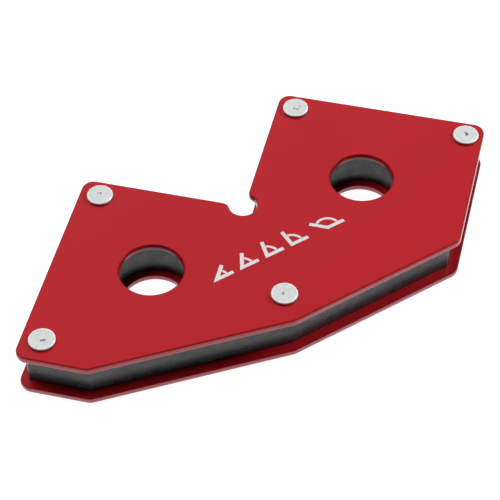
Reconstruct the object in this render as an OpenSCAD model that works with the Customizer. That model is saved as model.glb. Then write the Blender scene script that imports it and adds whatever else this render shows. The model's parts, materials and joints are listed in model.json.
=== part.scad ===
// Welding magnet holder with many working angles. Two flat steel plates are riveted
// over a moulded core, and the core holds block magnets between the plates.
// It lies flat with +Z up through its thickness and its origin under the middle of its
// box. The working angles are between the edges of the plates: 90 degrees in the notch
// and at the arm tips, 135 degrees and wider along the base.

/* [Outline] */
// Length of each notch edge, from the notch corner to an arm tip
arm_edge = 47.5; // [46.5:0.5:50]
// Length of the end edge of the right lobe
right_end_edge = 62.5; // [61.5:0.5:65]
// Length of the end edge of the left lobe
left_end_edge = 67.3; // [66:0.1:70]
// Length of the right side edge, between the right end edge and the base
right_side_edge = 47; // [46:0.5:48]
// Length of the base edge
base_edge = 54.7; // [54:0.1:58]
// Angle between the base edge and the sloping edge beside it
slope_angle = 15; // [13:1:17]
// Radius of the plates' outer corners
corner_r = 3.5; // [1.5:0.5:4.5]

/* [Notch] */
// Radius of the round weld relief in the notch corner
relief_r = 4; // [3:0.25:5]
// Height of the relief's centre above the corner where the notch edges would meet
relief_rise = 0.5; // [0:0.25:1.5]
// Radius of the rounded lips between the relief and the notch edges
lip_r = 2.5; // [1.5:0.5:3]

/* [Thickness] */
// Thickness of each plate
plate_t = 2; // [1.5:0.25:3]
// Height of the core and the magnets between the plates
core_h = 11; // [8:0.5:16]
// Distance from the plates' edge in to the core's side wall
core_setback = 3; // [2.5:0.25:3]
// Distance from the plates' two end edges in to the core's side wall
core_end_setback = 2.2; // [2:0.1:3]
// Radius of the core's outer corners
core_corner_r = 1; // [0.5:0.25:3]
// Radius of the core's lips beside the relief
core_lip_r = 1; // [0.5:0.25:1.5]

/* [Round openings] */
// Radius of the two large holes in the plates
hole_r = 9; // [8:0.25:10]
// Distance from the plates' hole edge back to the core's wall round it
hole_setback = 2.25; // [1.5:0.25:3]
// Left hole: distance from its centre to the left notch edge
left_hole_from_notch = 29.3; // [28.5:0.1:31]
// Left hole: distance from its centre to the left end edge
left_hole_from_end = 28.2; // [28:0.1:29]
// Right hole: distance from its centre to the right notch edge
right_hole_from_notch = 30.6; // [30:0.1:32]
// Right hole: distance from its centre to the right end edge
right_hole_from_end = 29; // [28.5:0.1:30]

/* [Rivets] */
// Radius of the rivet shanks
shank_r = 2; // [1.5:0.1:2.1]
// Radius of the rivet heads
head_r = 3.75; // [3:0.25:4.5]
// Height of the rivet heads over the plates
head_h = 1; // [0.8:0.1:1.5]
// Radius of the rounded rim of a head
head_rim_r = 0.35; // [0.1:0.05:0.4]
// Radial gap between a shank and the holes it passes through
shank_gap = 0.05; // [0.02:0.01:0.15]
// Distance from the notch edges and the right end edge to the rivets beside them
rivet_inset = 5.8; // [5.4:0.1:6.5]
// Distance from the left end edge to the rivets beside it
rivet_inset_left_end = 6.3; // [5.8:0.1:6.6]
// Distance from the right side edge to the rivet beside it
rivet_inset_right = 5.2; // [5.1:0.1:6.5]
// Distance from the short left edge to the rivet beside it
rivet_inset_left = 6.9; // [6:0.1:7.5]
// Height of the base rivet over the base edge
base_rivet_rise = 9.3; // [8:0.1:11]
// Distance of the base rivet from the corner of the base and sloping edges
base_rivet_offset = 2.2; // [1:0.1:4]

/* [Magnets] */
// Length of a magnet block, along the edge it lies behind
magnet_l = 20; // [16:0.5:20]
// Width of a magnet block
magnet_w = 8; // [6:0.5:8]
// Distance from the plates' edge in to a magnet
magnet_inset = 5.5; // [5.25:0.25:5.5]
// Gap between two magnets behind one edge
magnet_gap = 2; // [1.5:0.25:2.5]
// Distance from the notch corner down to the middle magnet's centre
middle_magnet_drop = 17; // [16:0.5:19]
// Gap between a magnet and the walls of its pocket
pocket_gap = 0.15; // [0.1:0.05:0.3]

/* [Hidden] */
$fn = 96;
arc_step = 9;  // degrees between the points of an arc in the outline
through = 1;  // how far a cutting tool runs past the faces it cuts

// Directions of the two notch edges: u along the right one, v square to it
u = [sqrt(0.5), sqrt(0.5)];
v = [sqrt(0.5), -sqrt(0.5)];
slope = [-cos(slope_angle), sin(slope_angle)];

// Corners of the outline, clockwise from the notch, which is at [0, 0] here
tip_right = arm_edge * u;
end_right = tip_right + right_end_edge * v;
base_right = end_right - right_side_edge * u;
base_left = base_right - [base_edge, 0];
tip_left = -arm_edge * v;
end_left = tip_left - left_end_edge * u;
slope_left = base_left + slope * cross(end_left - base_left, v) / cross(slope, v);
corners = [[0, 0], tip_right, end_right, base_right, base_left, slope_left, end_left, tip_left];
sides = len(corners);

// How far each side of the plates and of the core is drawn in from the outline
plate_insets = [for (i = [1:sides]) 0];
core_insets = [for (i = [1:sides]) i == 2 || i == 7 ? core_end_setback : core_setback];

// Levels of the stack, from the faces of the back rivet heads up
back_plate_z = head_h;
core_z = back_plate_z + plate_t;
front_plate_z = core_z + core_h;
front_face_z = front_plate_z + plate_t;

hole_centres = [
    -left_hole_from_notch * u - (arm_edge - left_hole_from_end) * v,
    (arm_edge - right_hole_from_end) * u + right_hole_from_notch * v
];

// Rivet names and centres
RIVETS = [
    ["rivet_left_tip", -rivet_inset * u - (arm_edge - rivet_inset_left_end) * v],
    ["rivet_right_tip", (arm_edge - rivet_inset) * u + rivet_inset * v],
    ["rivet_left_end",
     -(left_end_edge - rivet_inset_left) * u - (arm_edge - rivet_inset_left_end) * v],
    ["rivet_right_end", (arm_edge - rivet_inset) * u + (right_end_edge - rivet_inset_right) * v],
    ["rivet_base", base_left + [base_rivet_offset, base_rivet_rise]]
];

// Magnets behind the edges: name, edge number clockwise from the notch's right edge,
// distance along that edge to the first block, and how many blocks follow each other
magnet_rows = [
    ["magnet_right_notch", 0, 9, 1],
    ["magnet_right_end", 1, 10.5, 2],
    ["magnet_right_side", 2, 17.5, 1],
    ["magnet_base", 3, 4, 2],
    ["magnet_slope", 4, 7, 2],
    ["magnet_left_end", 6, 13, 2],
    ["magnet_left_notch", 7, 18.5, 1]
];
// Every magnet as its name, its centre and the direction it lies along
MAGNETS = concat(
    [["magnet_middle", [0, -middle_magnet_drop], [1, 0]]],
    [for (row = magnet_rows, i = [1:row[3]])
        let (along = row[2] + magnet_l / 2 + (i - 1) * (magnet_l + magnet_gap))
        [row[3] > 1 ? str(row[0], "_", i) : row[0],
         corners[row[1]] + along * edge_dir(row[1]) + (magnet_inset + magnet_w / 2) * inward(row[1]),
         edge_dir(row[1])]]
);

// The box of the whole outline, which sets the origin under its middle
reach = [for (i = [1:sides - 1]) corner_centre(i, plate_insets, corner_r)];
box_low = [min([for (p = reach) p.x]), min([for (p = reach) p.y])] - [corner_r, corner_r];
box_high = [max([for (p = reach) p.x]), max([for (p = reach) p.y])] + [corner_r, corner_r];
origin = (box_low + box_high) / 2;

function edge_dir(i) =
    let (step = corners[(i + 1) % sides] - corners[i]) step / norm(step);
function inward(i) = [edge_dir(i).y, -edge_dir(i).x];
function direction(way) = atan2(way.y, way.x);

// Centre of the arc that rounds corner i of the outline drawn in by insets
function corner_centre(i, insets, r) =
    let (a = inward(i - 1), b = inward(i), lean = a * b)
    corners[i] + ((insets[i - 1] + r) * (a - lean * b) + (insets[i] + r) * (b - lean * a))
                 / (1 - lean * lean);

// Points of an arc from one angle to another, about arc_step degrees apart
function arc(centre, r, from, to) =
    let (steps = ceil(abs(to - from) / arc_step))
    [for (k = [0:steps])
        let (angle = from + (to - from) * k / steps) centre + r * [cos(angle), sin(angle)]];

// Outline drawn in by insets, clockwise: the round relief with a lip on each side of it,
// then the round outer corners with straight edges between them
module outline(insets, outer_r, notch_r, notch_lip_r) {
    bottom = [0, -insets[0] * sqrt(2)];
    relief = [0, relief_rise];
    rise = (relief - bottom).y / sqrt(2);
    lip_at = rise + sqrt(pow(notch_r + notch_lip_r, 2) - pow(notch_lip_r + rise, 2));
    lip = bottom + lip_at * u + notch_lip_r * v;
    lip_angle = direction(lip - relief);
    edge_angle = direction(-v);
    polygon(concat(
        arc([-lip.x, lip.y], notch_lip_r, 180 - edge_angle, -lip_angle),
        arc(relief, notch_r, 180 - lip_angle, 360 + lip_angle),
        arc(lip, notch_lip_r, 180 + lip_angle, edge_angle),
        [for (i = [1:sides - 1])
            let (from = direction(-inward(i - 1)), turn = acos(inward(i - 1) * inward(i)))
            each arc(corner_centre(i, insets, outer_r), outer_r, from, from - turn)]));
}

// Cylinders at the given centres, for holes right through a layer
module holes(centres, r, h) {
    for (c = centres) translate([c.x, c.y, -through]) cylinder(r = r, h = h + 2 * through);
}

module plate() {
    difference() {
        linear_extrude(plate_t) outline(plate_insets, corner_r, relief_r, lip_r);
        holes(hole_centres, hole_r, plate_t);
        holes([for (r = RIVETS) r[1]], shank_r + shank_gap, plate_t);
    }
}

module magnet_block(spot, grow, h) {
    translate(spot[1]) rotate(direction(spot[2]))
        translate([-magnet_l / 2 - grow, -magnet_w / 2 - grow, 0])
            cube([magnet_l + 2 * grow, magnet_w + 2 * grow, h]);
}

// Lower steel plate
module back_plate() {
    color("firebrick") translate([0, 0, back_plate_z]) plate();
}

// Upper steel plate
module front_plate() {
    color("firebrick") translate([0, 0, front_plate_z]) plate();
}

// Moulded core: it stands back from the plates' edges and from their large holes
module core() {
    color("dimgray") translate([0, 0, core_z]) difference() {
        linear_extrude(core_h)
            outline(core_insets, core_corner_r, relief_r + core_setback, core_lip_r);
        holes(hole_centres, hole_r + hole_setback, core_h);
        holes([for (r = RIVETS) r[1]], shank_r + shank_gap, core_h);
        for (m = MAGNETS) translate([0, 0, -through])
            magnet_block(m, pocket_gap, core_h + 2 * through);
    }
}

// Block magnet that reaches from plate to plate
module magnet(spot) {
    color("darkslategray") translate([0, 0, core_z]) magnet_block(spot, 0, core_h);
}

// Rivet with a flat head on each plate
module rivet(spot) {
    rim = head_r - head_rim_r;
    color("silver") translate(spot[1]) rotate_extrude() difference() {
        union() {
            square([shank_r, front_face_z + head_h]);
            for (z = [0, front_face_z]) translate([0, z]) square([head_r, head_h]);
        }
        for (end = [0, 1]) translate([0, end * (front_face_z + head_h)]) mirror([0, end])
            difference() {
                translate([rim, 0]) square([2 * head_rim_r, head_rim_r]);
                translate([rim, head_rim_r]) circle(head_rim_r);
            }
    }
}

translate(-origin) {
    back_plate();
    core();
    front_plate();
    for (m = MAGNETS) magnet(m);
    for (r = RIVETS) rivet(r);
}
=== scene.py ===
"""Welding magnet holder: looks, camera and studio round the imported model."""
import json
import math
import random

import bmesh
import bpy
from mathutils import Matrix, Vector


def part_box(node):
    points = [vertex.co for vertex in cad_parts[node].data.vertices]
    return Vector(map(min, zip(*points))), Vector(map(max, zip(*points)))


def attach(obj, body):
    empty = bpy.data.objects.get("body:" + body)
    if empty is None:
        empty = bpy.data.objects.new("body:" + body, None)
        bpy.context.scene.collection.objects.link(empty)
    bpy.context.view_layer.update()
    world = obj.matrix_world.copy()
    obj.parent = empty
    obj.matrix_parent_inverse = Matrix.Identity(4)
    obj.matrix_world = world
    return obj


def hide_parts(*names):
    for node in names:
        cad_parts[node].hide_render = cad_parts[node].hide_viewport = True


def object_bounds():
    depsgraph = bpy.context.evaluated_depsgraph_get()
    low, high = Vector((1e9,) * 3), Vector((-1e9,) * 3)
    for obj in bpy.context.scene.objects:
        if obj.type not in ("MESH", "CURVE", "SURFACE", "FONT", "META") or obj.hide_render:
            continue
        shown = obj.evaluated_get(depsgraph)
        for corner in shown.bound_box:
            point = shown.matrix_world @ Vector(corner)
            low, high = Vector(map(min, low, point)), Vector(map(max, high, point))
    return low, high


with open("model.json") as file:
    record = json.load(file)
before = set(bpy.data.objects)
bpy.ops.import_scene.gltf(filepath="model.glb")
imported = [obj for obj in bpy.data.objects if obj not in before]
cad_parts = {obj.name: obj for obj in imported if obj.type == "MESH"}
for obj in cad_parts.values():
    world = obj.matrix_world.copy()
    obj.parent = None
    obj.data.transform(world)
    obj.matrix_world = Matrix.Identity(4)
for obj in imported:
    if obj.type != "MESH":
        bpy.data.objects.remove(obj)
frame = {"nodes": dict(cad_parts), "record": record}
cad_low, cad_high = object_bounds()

MM = 0.001
MICRON = 0.000001
BODY = "root"

# Values stored on the meshes' points: a sheet's painted edge shade, a rivet's dark tool marks with
# the painted shade round its foot, and its painted rim highlight
PAINTED_EDGE_SHADE = "painted_shade_on_edges"
MARKS_AND_FOOT_SHADE = "marks_and_painted_shade"
PAINTED_RIM_HIGHLIGHT = "rim_painted_highlight"


# ---------------------------------------------------------------- node helpers

# Most of a noise lies between these two values
NOISE_LOW, NOISE_HIGH = 0.3, 0.7
NOISE_SPAN = (NOISE_LOW, NOISE_HIGH)
WHOLE_SPAN = (0.0, 1.0)

# The colour sockets of a mix node, which shares its socket names between data types
MIX_FIRST, MIX_SECOND, MIX_RESULT = 6, 7, 2


class Shader:
    """A material's node tree, with short calls for the nodes that the looks use."""

    def __init__(self, name, **sockets):
        self.material = bpy.data.materials.new(name)
        self.material.use_nodes = True
        self.nodes = self.material.node_tree.nodes
        self.links = self.material.node_tree.links
        self.surface = self.nodes["Principled BSDF"]
        for socket, value in sockets.items():
            self.surface.inputs[socket.replace("_", " ")].default_value = value
        self.place = self.nodes.new("ShaderNodeTexCoord").outputs["Object"]

    def link(self, source, target):
        self.links.new(source, target)

    def noise(self, per_metre, detail=3, stretch=None, roughness=0.5):
        """Noise with so many features to a metre, in the object's own place."""
        node = self.nodes.new("ShaderNodeTexNoise")
        node.inputs["Scale"].default_value = per_metre
        node.inputs["Detail"].default_value = detail
        node.inputs["Roughness"].default_value = roughness
        place = self.place
        if stretch:
            mapping = self.nodes.new("ShaderNodeMapping")
            mapping.inputs["Scale"].default_value = stretch
            self.link(place, mapping.inputs["Vector"])
            place = mapping.outputs["Vector"]
        self.link(place, node.inputs["Vector"])
        return node.outputs["Fac"]

    def ramp(self, source, *stops):
        """Maps a value to colours, each stop a (position, colour) pair."""
        node = self.nodes.new("ShaderNodeValToRGB")
        elements = node.color_ramp.elements
        while len(elements) < len(stops):
            elements.new(0.5)
        for element, (position, colour) in zip(elements, stops):
            element.position = position
            element.color = (*colour, 1)
        self.link(source, node.inputs["Fac"])
        return node.outputs["Color"]

    def tones(self, source, low, high):
        """Maps a noise from one colour to another."""
        return self.ramp(source, (NOISE_LOW, low), (NOISE_HIGH, high))

    def span(self, source, low, high, over=NOISE_SPAN):
        """Maps a value's span to low..high."""
        node = self.nodes.new("ShaderNodeMapRange")
        for socket, value in zip(("From Min", "From Max", "To Min", "To Max"), (*over, low, high)):
            node.inputs[socket].default_value = value
        self.link(source, node.inputs["Value"])
        return node.outputs["Result"]

    def mix(self, share, first, second):
        """Blends two colours, given as sockets or as values, by a share."""
        node = self.nodes.new("ShaderNodeMix")
        node.data_type = "RGBA"
        self.link(share, node.inputs["Factor"])
        for socket, value in ((MIX_FIRST, first), (MIX_SECOND, second)):
            if isinstance(value, tuple):
                node.inputs[socket].default_value = (*value, 1)
            else:
                self.link(value, node.inputs[socket])
        return node.outputs[MIX_RESULT]

    def bump(self, *layers):
        """Stacks bumps, each a (height socket, depth in metres) pair, onto the surface."""
        normal = None
        for height, depth in layers:
            node = self.nodes.new("ShaderNodeBump")
            node.inputs["Strength"].default_value = 1.0
            node.inputs["Distance"].default_value = depth
            self.link(height, node.inputs["Height"])
            if normal:
                self.link(normal, node.inputs["Normal"])
            normal = node.outputs["Normal"]
        self.link(normal, self.surface.inputs["Normal"])

    def set(self, socket, source):
        self.link(source, self.surface.inputs[socket])

    def attribute(self, name):
        """A value stored on the mesh's points."""
        node = self.nodes.new("ShaderNodeAttribute")
        node.attribute_name = name
        return node.outputs["Fac"]


# ------------------------------------------------------------------- materials

COAT_TONES = (0.378, 0.0068, 0.0130), (0.406, 0.0080, 0.0150)
COAT_SPECK_TONES = (0.350, 0.0056, 0.0110), (0.378, 0.0068, 0.0130)
COAT_SPECKS_OVER = (0.52, 0.66)
# Painted shade: the dark red given to the paint's edges where their curve would mirror the dark
# room
COAT_EDGE_SHADE = (0.24, 0.004, 0.007)
COAT_WEIGHT = 0.9

PLASTIC_TONES = (0.015, 0.0185, 0.0185), (0.023, 0.027, 0.027)
PLASTIC_DUST = (0.085, 0.098, 0.098)
PLASTIC_DUST_OVER = (0.52, 0.74)

ZINC_STOPS = (0.30, (0.62, 0.65, 0.64)), (0.55, (0.69, 0.715, 0.70)), (0.75, (0.75, 0.76, 0.745))
ZINC_SPECK = (0.40, 0.39, 0.37)
ZINC_SPECKS_OVER = (0.66, 0.76)
# Painted highlight: the pale colour given to the rivets' rims
ZINC_RIM_HIGHLIGHT = (0.86, 0.85, 0.85)
# Dark colour of the tool marks, and of the painted shade round each head's foot
ZINC_MARKS_AND_SHADE = (0.07, 0.07, 0.065)

INK_TONES = (0.60, 0.60, 0.61), (0.72, 0.71, 0.72)
FERRITE_TONES = (0.020, 0.020, 0.022), (0.048, 0.048, 0.050)


def paint_material():
    """Glossy red powder coat over sheet steel: fine specks, a fine orange peel, and painted shade
    along the edges, where the coat is also taken off."""
    paint = Shader("red_powder_coat", Coat_Roughness=0.03, Specular_IOR_Level=0.2)
    clouds = paint.noise(38, detail=4)
    specks = paint.noise(5200, detail=2)
    coat = paint.mix(paint.span(specks, 0, 1, over=COAT_SPECKS_OVER),
                     paint.tones(clouds, *COAT_TONES), paint.tones(clouds, *COAT_SPECK_TONES))
    # Painted shade: the edge value darkens the base colour and takes the coat off along the
    # sheets' edges
    edge = paint.attribute(PAINTED_EDGE_SHADE)
    paint.set("Base Color", paint.mix(edge, coat, COAT_EDGE_SHADE))
    paint.set("Coat Weight", paint.span(edge, COAT_WEIGHT, 0, over=WHOLE_SPAN))
    paint.set("Roughness", paint.span(paint.noise(260, detail=5), 0.30, 0.40))
    orange_peel = paint.noise(900, detail=2)
    paint.bump((orange_peel, 12 * MICRON), (specks, 4 * MICRON))
    return paint.material


def core_material():
    """Moulded dark grey plastic, satin, with a fine grain, faint flow lines and pale dust."""
    core = Shader("dark_moulded_plastic", IOR=1.56)
    flow = core.noise(60, detail=4, stretch=(1, 1, 0.25))
    dust = core.span(core.noise(1500, detail=4, roughness=0.65), 0, 0.5, over=PLASTIC_DUST_OVER)
    core.set("Base Color", core.mix(dust, core.tones(flow, *PLASTIC_TONES), PLASTIC_DUST))
    core.set("Roughness", core.span(core.noise(420, detail=4), 0.24, 0.44))
    grain, waves = core.noise(3400), core.noise(700)
    core.bump((grain, 20 * MICRON), (waves, 20 * MICRON))
    return core.material


def rivet_material():
    """Zinc plated rivet steel: pale and satin, with a faint bloom, dark tool marks, painted shade
    round the heads' feet and a painted highlight on the rims."""
    zinc = Shader("zinc_plated_rivet", Metallic=0.25, IOR=1.5)
    bloom = zinc.noise(900, detail=5)
    specks = zinc.span(zinc.noise(2600), 0, 0.6, over=ZINC_SPECKS_OVER)
    face = zinc.mix(specks, zinc.ramp(bloom, *ZINC_STOPS), ZINC_SPECK)
    # Painted highlight: the rims are lightened in the base colour
    plated = zinc.mix(zinc.attribute(PAINTED_RIM_HIGHLIGHT), face, ZINC_RIM_HIGHLIGHT)
    # Tool marks, and painted shade round each head's foot, darken the colour
    zinc.set("Base Color", zinc.mix(zinc.attribute(MARKS_AND_FOOT_SHADE), plated, ZINC_MARKS_AND_SHADE))
    zinc.set("Roughness", zinc.span(bloom, 0.36, 0.5))
    zinc.bump((zinc.noise(2400, detail=4), 6 * MICRON))
    return zinc.material


def print_material():
    """Pale silver screen print with an uneven film."""
    ink = Shader("silver_screen_print", Metallic=0.15, IOR=1.45)
    film = ink.noise(1600, detail=4)
    ink.set("Base Color", ink.tones(film, *INK_TONES))
    ink.set("Roughness", ink.span(film, 0.38, 0.5))
    ink.bump((film, 6 * MICRON))
    return ink.material


def ferrite_material():
    """Sintered ferrite: nearly black, matt, with a ground face."""
    ferrite = Shader("sintered_ferrite", IOR=1.6)
    grain = ferrite.noise(2800, detail=5)
    ferrite.set("Base Color", ferrite.tones(grain, *FERRITE_TONES))
    ferrite.set("Roughness", ferrite.span(grain, 0.55, 0.8))
    grinding = ferrite.noise(700, detail=2, stretch=(0.1, 1, 1))
    ferrite.bump((grain, 20 * MICRON), (grinding, 20 * MICRON))
    return ferrite.material


# ------------------------------------------------------------- outlines and meshes

# How near to a height a point lies on it, and the decimals of a metre that tell points apart
ON_PLANE = 1 * MICRON
POINT_DECIMALS = 7


def face_loops(node, z):
    """Outlines of a CAD node's flat face at height z: the outer one counterclockwise and
    the holes clockwise, so the solid is always on the left."""
    mesh = frame["nodes"][node].data
    after = {}
    for face in mesh.polygons:
        points = [mesh.vertices[i].co for i in face.vertices]
        if max(abs(p.z - z) for p in points) > ON_PLANE:
            continue
        ring = [(round(p.x, POINT_DECIMALS), round(p.y, POINT_DECIMALS)) for p in points]
        if face.normal.z < 0:
            ring.reverse()
        for a, b in zip(ring, ring[1:] + ring[:1]):
            if (b, a) in after:
                del after[(b, a)]
            else:
                after[(a, b)] = True
    following = {a: b for a, b in after}
    loops = []
    while following:
        start, point = following.popitem()
        loop = [start]
        while point != start:
            loop.append(point)
            point = following.pop(point)
        loops.append([Vector(p) for p in loop])
    return loops


def signed_area(loop):
    return sum(a.x * b.y - b.x * a.y for a, b in zip(loop, loop[1:] + loop[:1])) / 2


def drawn_in(loop, distance):
    """The loop moved by a distance into the solid on its left."""
    moved = []
    for before, point, behind in zip(loop[-1:] + loop[:-1], loop, loop[1:] + loop[:1]):
        first, second = (point - before).normalized(), (behind - point).normalized()
        left = Vector((-first.y - second.y, first.x + second.x))
        moved.append(point + left * (distance / (1 + first.dot(second))))
    return moved


def way(angle):
    """Unit vector at an angle in degrees from +X."""
    return Vector((math.cos(math.radians(angle)), math.sin(math.radians(angle))))


# How far a punched sheet's edge curves over the face and down the wall, on its two sides
ROLLED = (0.4 * MM, 1.2 * MM)
SHEARED = (0.2 * MM, 0.4 * MM)
# How far in from the curve the painted edge shade fades out
EDGE_FADE = 0.2 * MM
EDGE_STEPS = 6
# Weight that lets the flat faces set the shading of the edges beside them
FLAT_WEIGHT = 100


def edge_profile(low, high, low_roll, high_roll):
    """(distance in from the outline, height, painted edge shade) of a sheet's edge, from top to
    bottom.
    Each roll is how far that edge's curve reaches (over the face, down the wall)."""
    high_over, high_down = high_roll
    low_over, low_up = low_roll
    top = [(high_over + EDGE_FADE, high, 0)]
    bottom = [(low_over + EDGE_FADE, low, 0)]
    for k in range(EDGE_STEPS + 1):
        turn = k * math.pi / 2 / EDGE_STEPS
        over, down = 1 - math.sin(turn), 1 - math.cos(turn)
        # Painted shade where the curve would mirror the dark room: full over the curve's first
        # third, from the face on, and gone after its second
        line = min(1, max(0, 2 - 3 * k / EDGE_STEPS))
        top.append((high_over * over, high - high_down * down, line))
        bottom.append((low_over * over, low + low_up * down, line))
    return top + bottom[::-1]


def new_piece(name, bm, material):
    """Makes an object of a bmesh, with its finish, on the part's one body."""
    mesh = bpy.data.meshes.new(name)
    bm.to_mesh(mesh)
    bm.free()
    mesh.materials.append(material)
    piece = bpy.data.objects.new(name, mesh)
    bpy.context.scene.collection.objects.link(piece)
    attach(piece, BODY)
    return piece


def layer_piece(name, node, material, low_roll, high_roll):
    """A flat layer with a CAD node's outline and holes, and with rounded edges."""
    low, high = (corner.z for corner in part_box(node))
    profile = edge_profile(low, high, low_roll, high_roll)
    bm = bmesh.new()
    # Painted shade along the sheets' edges, stored on the points
    shade = bm.verts.layers.float.new(PAINTED_EDGE_SHADE)
    top_edges, bottom_edges = [], []
    for loop in face_loops(node, high):
        rings = []
        for inset, z, line in profile:
            rings.append([bm.verts.new((p.x, p.y, z)) for p in drawn_in(loop, inset)])
            for vert in rings[-1]:
                vert[shade] = line
        pairs = [(i, (i + 1) % len(loop)) for i in range(len(loop))]
        for upper, lower in zip(rings, rings[1:]):
            for i, j in pairs:
                bm.faces.new((upper[j], upper[i], lower[i], lower[j]))
        top_edges += [bm.edges.get((rings[0][i], rings[0][j])) for i, j in pairs]
        bottom_edges += [bm.edges.get((rings[-1][i], rings[-1][j])) for i, j in pairs]
    for edges in (top_edges, bottom_edges):
        bmesh.ops.triangle_fill(bm, edges=edges, use_beauty=True)
    bmesh.ops.recalc_face_normals(bm, faces=bm.faces)
    for face in bm.faces:
        face.smooth = True
    piece = new_piece(name, bm, material)
    piece.modifiers.new("even_shading", "WEIGHTED_NORMAL").weight = FLAT_WEIGHT
    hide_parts(node)


# ---------------------------------------------------------------------- rivets

HEAD_SEGMENTS = 72
FACE_RINGS = 20
RIM_R = 0.32 * MM
RIM_TURNS = (15, 35, 55, 75, 90)
UNDERCUT_R = 0.25 * MM
# How deep the face is dished, and the two rings where it rises to the rim: how far each is from
# the rim, its share of the dish's depth, and its painted rim highlight
FACE_DISH = 0.05 * MM
DISH_RISE = ((0.12 * MM, 0.75, 0.1), (0, 0.15, 0.7))
# Size of the facet between a head's side and its underside, as a share of the undercut
UNDERCUT_FACET = 0.3
SHANK_R = 2.0 * MM
# Painted shade on a head's last four rings, from the rim's side down to the plate, where the
# head's side and underside lie in shade
FOOT_PAINTED_SHADE = (0.3, 0.8, 1, 1)

# Tool marks: how many a head has, how far the first is from its middle, how much further
# and round each next one is, and the radius and depth of each
MARK_COUNTS = (2, 3)
MARK_AWAY = (0.3, 0.7)
MARK_SPREAD = 0.5
MARK_TURN = 70
MARK_R = (0.24, 0.46)
MARK_R_LOSS = 0.06
MARK_DEPTH = (0.03, 0.07)
TOOL_MARK_SEED = 7


def head_profile(radius, height):
    """(radius, depth below the crown, painted rim highlight) of a flat head's rings, from its
    middle out.
    """
    flat = radius - RIM_R
    face = [(flat * k / FACE_RINGS, FACE_DISH, 0) for k in range(1, FACE_RINGS)]
    lead = [(flat - inset, FACE_DISH * share, rim_highlight) for inset, share, rim_highlight in DISH_RISE]
    turns = [math.radians(a) for a in RIM_TURNS]
    # The rim's rings carry the full painted highlight
    rim = [(flat + RIM_R * math.sin(t), RIM_R * (1 - math.cos(t)), 1) for t in turns]
    facet = UNDERCUT_FACET * UNDERCUT_R
    foot = [(radius, height - UNDERCUT_R, 0), (radius - facet, height - facet, 0),
            (radius - UNDERCUT_R, height, 0)]
    return face + lead + rim + foot


def tool_marks(rng):
    """Small dents near the middle of a head: (place, radius, depth)."""
    marks = []
    first, away = rng.uniform(0, 360), rng.uniform(*MARK_AWAY) * MM
    least_r, most_r = MARK_R
    for k in range(rng.choice(MARK_COUNTS)):
        place = way(first + MARK_TURN * k) * away * (1 + MARK_SPREAD * k)
        radius = rng.uniform(least_r, most_r - MARK_R_LOSS * k) * MM
        marks.append((place, radius, rng.uniform(*MARK_DEPTH) * MM))
    return marks


def rivet_piece(node, material, rng):
    """A rivet: two flat heads with rounded rims, worked faces and a plain shank."""
    low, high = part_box(node)
    middle = (low + high) / 2
    radius = (high.x - low.x) / 2
    plate_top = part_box("front_plate")[1].z
    plate_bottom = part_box("back_plate")[0].z
    bm = bmesh.new()
    # One value for the tool marks and for the painted shade round the head's foot
    marks_and_shade_layer = bm.verts.layers.float.new(MARKS_AND_FOOT_SHADE)
    # Layer of the painted highlight on the rims
    worn = bm.verts.layers.float.new(PAINTED_RIM_HIGHLIGHT)

    def ring(r, z, rim_highlight=0):
        points = []
        for k in range(HEAD_SEGMENTS):
            turn = 2 * math.pi * k / HEAD_SEGMENTS
            x, y = middle.x + r * math.cos(turn), middle.y + r * math.sin(turn)
            vert = bm.verts.new((x, y, z))
            vert[worn] = rim_highlight
            points.append(vert)
        return points

    def skin(first, second):
        for i in range(HEAD_SEGMENTS):
            j = (i + 1) % HEAD_SEGMENTS
            bm.faces.new((first[i], first[j], second[j], second[i])).smooth = True

    neck = []
    for crown, seat, inward in ((high.z, plate_top, -1), (low.z, plate_bottom, 1)):
        profile = head_profile(radius, abs(crown - seat))
        rings = [ring(r, crown + inward * depth, rim_highlight) for r, depth, rim_highlight in profile]
        # Painted shade down the head's side to the plate
        for marks_and_painted_shade, side_ring in zip(FOOT_PAINTED_SHADE, rings[-len(FOOT_PAINTED_SHADE):]):
            for vert in side_ring:
                vert[marks_and_shade_layer] = marks_and_painted_shade
        tip = bm.verts.new((middle.x, middle.y, crown + inward * FACE_DISH))
        for i in range(HEAD_SEGMENTS):
            j = (i + 1) % HEAD_SEGMENTS
            bm.faces.new((tip, rings[0][i], rings[0][j])).smooth = True
        for first, second in zip(rings, rings[1:]):
            skin(first, second)
        neck.append(ring(SHANK_R, seat))
        skin(rings[-1], neck[-1])
        marks = tool_marks(rng)
        for vert in [tip] + [v for face_ring in rings[:FACE_RINGS - 1] for v in face_ring]:
            spot = Vector((vert.co.x - middle.x, vert.co.y - middle.y))
            shares = [math.exp(-((spot - place).length / size) ** 2) for place, size, _ in marks]
            vert[marks_and_shade_layer] = min(1, sum(shares))
            dent = sum(share * depth for share, (_, _, depth) in zip(shares, marks))
            vert.co.z += inward * dent
    skin(neck[0], neck[1])
    bmesh.ops.recalc_face_normals(bm, faces=bm.faces)
    piece = new_piece(node + "_turned", bm, material)
    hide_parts(node)


# ---------------------------------------------------------------- printed signs

SIGN_ANGLES = (45, 60, 75, 90, 135)
SIGN_STROKE = 1.1 * MM
SIGN_ARM = 5.4 * MM
SIGN_GAP = 2.8 * MM
SIGN_FILM = 0.03 * MM
# Where the row lies on the way from the holes' middles to the base rivet
SIGN_ROW_SHARE = 0.45
ARC_STROKE = 0.75 * MM
ARC_R = 3.5 * MM
ARC_STEPS = 12
# Gap that keeps an arc's ends clear of the arms
HAIRLINE = 0.04 * MM


def record_mount(name):
    """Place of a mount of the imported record."""
    return next(Vector(m["pos_m"]) for m in frame["record"]["mounts"] if m["name"] == name)


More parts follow.
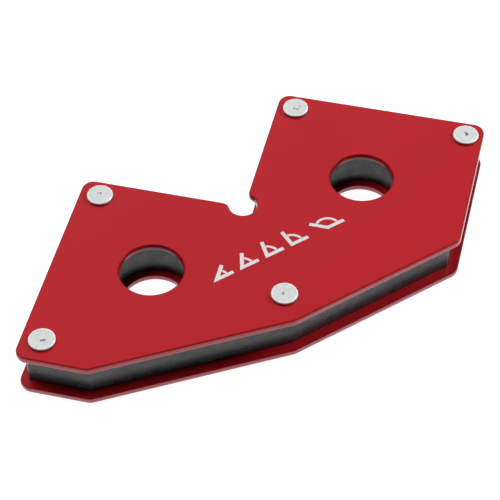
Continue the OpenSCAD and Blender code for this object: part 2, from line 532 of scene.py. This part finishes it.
def angle_sign(angle):
    """Outlines of a small angle sign: two arms from one corner, and an arc between them."""
    half = SIGN_STROKE / 2
    base, arm = way(0), way(angle)
    inner = (base + arm) * (half / math.sin(math.radians(angle)))
    left, up = way(angle + 90), way(90)
    arms = [inner, base * SIGN_ARM + up * half, base * SIGN_ARM - up * half,
            -inner, arm * SIGN_ARM + left * half, arm * SIGN_ARM - left * half]
    outer_r, inner_r = ARC_R + ARC_STROKE / 2, ARC_R - ARC_STROKE / 2
    margin = math.degrees(math.asin((half + HAIRLINE) / inner_r))
    sweep = angle - 2 * margin
    spots = [margin + sweep * k / ARC_STEPS for k in range(ARC_STEPS + 1)]
    arc = [way(a) * outer_r for a in spots] + [way(a) * inner_r for a in reversed(spots)]
    return arms, arc


def slab(bm, outline, low, high):
    """A thin flat slab with a given outline."""
    if signed_area(outline) < 0:
        outline = outline[::-1]
    top = [bm.verts.new((p.x, p.y, high)) for p in outline]
    bottom = [bm.verts.new((p.x, p.y, low)) for p in outline]
    bm.faces.new(top)
    bm.faces.new(bottom[::-1])
    for i in range(len(top)):
        j = (i + 1) % len(top)
        bm.faces.new((top[i], bottom[i], bottom[j], top[j]))


def printed_signs(material):
    """A row of angle signs across the front plate, between the notch and the base rivet."""
    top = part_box("front_plate")[1].z
    rivet_low, rivet_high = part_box("rivet_base")
    rivet_y = (rivet_low.y + rivet_high.y) / 2
    between = (record_mount("hole_left") + record_mount("hole_right")) / 2
    row_y = between.y + (rivet_y - between.y) * SIGN_ROW_SHARE
    # How far each sign reaches to the left of its corner
    reaches = [-min(0.0, way(angle).x) * SIGN_ARM for angle in SIGN_ANGLES]
    width = sum(reaches) + len(reaches) * SIGN_ARM + (len(reaches) - 1) * SIGN_GAP
    x = between.x - width / 2
    bm = bmesh.new()
    for angle, reach in zip(SIGN_ANGLES, reaches):
        corner = Vector((x + reach, row_y))
        for outline in angle_sign(angle):
            slab(bm, [corner + p for p in outline], top, top + SIGN_FILM)
        x = corner.x + SIGN_ARM + SIGN_GAP
    new_piece("printed_angle_signs", bm, material)


# ------------------------------------------------------------------ CAD nodes

CORE_BEVEL = 0.15 * MM
MAGNET_BEVEL = 0.3 * MM
BEVEL_SEGMENTS = 2
# Edges that turn by more than this many degrees are rounded
BEVEL_ANGLE = 40


def finish_cad_node(node, material, bevel):
    """Keeps a CAD node's shape, and gives it a finish and slightly worn corners."""
    piece = frame["nodes"][node]
    piece.data.materials.clear()
    piece.data.materials.append(material)
    rounding = piece.modifiers.new("worn_corners", "BEVEL")
    rounding.width = bevel
    rounding.segments = BEVEL_SEGMENTS
    rounding.limit_method = "ANGLE"
    rounding.angle_limit = math.radians(BEVEL_ANGLE)


# ------------------------------------------------------- camera, floor and light

# Camera: its direction and roll in degrees, its distance, where it aims on the front
# plate, its lens in millimetres, and the nearest and furthest that it sees
CAMERA_AZIMUTH, CAMERA_ELEVATION, CAMERA_ROLL = -30.6, 48.5, 1.1
CAMERA_DISTANCE = 0.5228
CAMERA_AIM = (-0.00566, -0.00956)
CAMERA_LENS = 134.3
CAMERA_CLIP = (0.01, 20)

# Half the floor's side in metres, how far it lies below the part, and its own light
FLOOR_HALF = 3.0
FLOOR_GAP = 0.02 * MM
FLOOR_TONES = (0.24, 0.24, 0.24), (0.26, 0.26, 0.26)
FLOOR_GLOW = (0.98, 1.0, 1.05, 1)
FLOOR_GLOW_STRENGTH = 0.95

# Sky: (how far a direction points along Y, to the far side; brightness). All of the
# camera's side is as dark as the first
SKY_LEVELS = ((0.10, 0.02), (0.48, 0.15), (0.68, 0.40))
SKY_STRENGTH = 1.0

# Lights: place, width and depth in metres, and power in watts
SOFTBOX = ((-0.15, 0.30, 1.1), (0.8, 0.7), 11.8)
RIGHT_SIDE = ((0.8, -0.28, 0.6), (0.25, 0.25), 7)


def make_camera():
    """A long lens that looks down at the front plate from the sloping side."""
    azimuth, elevation = math.radians(CAMERA_AZIMUTH), math.radians(CAMERA_ELEVATION)
    aim = Vector((*CAMERA_AIM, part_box("front_plate")[1].z))
    back = Vector((math.sin(azimuth) * math.cos(elevation),
                   -math.cos(azimuth) * math.cos(elevation), math.sin(elevation)))
    data = bpy.data.cameras.new("camera")
    data.lens = CAMERA_LENS
    data.clip_start, data.clip_end = CAMERA_CLIP
    camera = bpy.data.objects.new("camera", data)
    camera.matrix_world = (Matrix.Translation(aim + back * CAMERA_DISTANCE)
                           @ back.to_track_quat("Z", "Y").to_matrix().to_4x4()
                           @ Matrix.Rotation(-math.radians(CAMERA_ROLL), 4, "Z"))
    bpy.context.scene.collection.objects.link(camera)
    bpy.context.scene.camera = camera


def make_floor():
    """A wide pale floor under the part, lit from inside."""
    bm = bmesh.new()
    bmesh.ops.create_grid(bm, x_segments=1, y_segments=1, size=FLOOR_HALF)
    mesh = bpy.data.meshes.new("floor")
    bm.to_mesh(mesh)
    bm.free()
    floor = bpy.data.objects.new("floor", mesh)
    floor.location.z = cad_low.z - FLOOR_GAP
    acrylic = Shader("lit_acrylic", Roughness=0.9, Emission_Color=FLOOR_GLOW,
                     Emission_Strength=FLOOR_GLOW_STRENGTH)
    acrylic.set("Base Color", acrylic.tones(acrylic.noise(30), *FLOOR_TONES))
    mesh.materials.append(acrylic.material)
    bpy.context.scene.collection.objects.link(floor)


def area_light(name, place, size, power):
    """A rectangular light that faces the part."""
    data = bpy.data.lights.new(name, "AREA")
    data.shape, data.size, data.size_y = "RECTANGLE", *size
    data.energy = power
    light = bpy.data.objects.new(name, data)
    light.location = place
    light.rotation_euler = Vector(place).to_track_quat("Z", "Y").to_euler()
    bpy.context.scene.collection.objects.link(light)
    return light


def make_light():
    """A softbox overhead and a small light low on the right, in a dark room with a dim wall on the
    far side. The softbox isn't mirrored, so no highlight lies over the painted shade along the
    sheets' edges."""
    world = bpy.data.worlds.new("studio")
    world.use_nodes = True
    nodes, links = world.node_tree.nodes, world.node_tree.links
    place = nodes.new("ShaderNodeTexCoord")
    split = nodes.new("ShaderNodeSeparateXYZ")
    ramp = nodes.new("ShaderNodeValToRGB")
    elements = ramp.color_ramp.elements
    elements.new(0.5)
    for element, (position, level) in zip(elements, SKY_LEVELS):
        element.position = position
        element.color = (level, level, level, 1)
    links.new(place.outputs["Generated"], split.inputs["Vector"])
    links.new(split.outputs["Y"], ramp.inputs["Fac"])
    links.new(ramp.outputs["Color"], nodes["Background"].inputs["Color"])
    nodes["Background"].inputs["Strength"].default_value = SKY_STRENGTH
    bpy.context.scene.world = world
    area_light("softbox", *SOFTBOX).visible_glossy = False
    area_light("right_side", *RIGHT_SIDE)
    bpy.context.scene.view_settings.view_transform = "Standard"


# ------------------------------------------------------------------- the scene

make_camera()
make_floor()
make_light()

paint = paint_material()
layer_piece("front_plate_sheet", "front_plate", paint, SHEARED, ROLLED)
layer_piece("back_plate_sheet", "back_plate", paint, ROLLED, SHEARED)
finish_cad_node("core", core_material(), CORE_BEVEL)

zinc = rivet_material()
rng = random.Random(TOOL_MARK_SEED)
ferrite = ferrite_material()
for name in sorted(frame["nodes"]):
    if name.startswith("rivet_"):
        rivet_piece(name, zinc, rng)
    elif name.startswith("magnet_"):
        finish_cad_node(name, ferrite, MAGNET_BEVEL)
printed_signs(print_material())
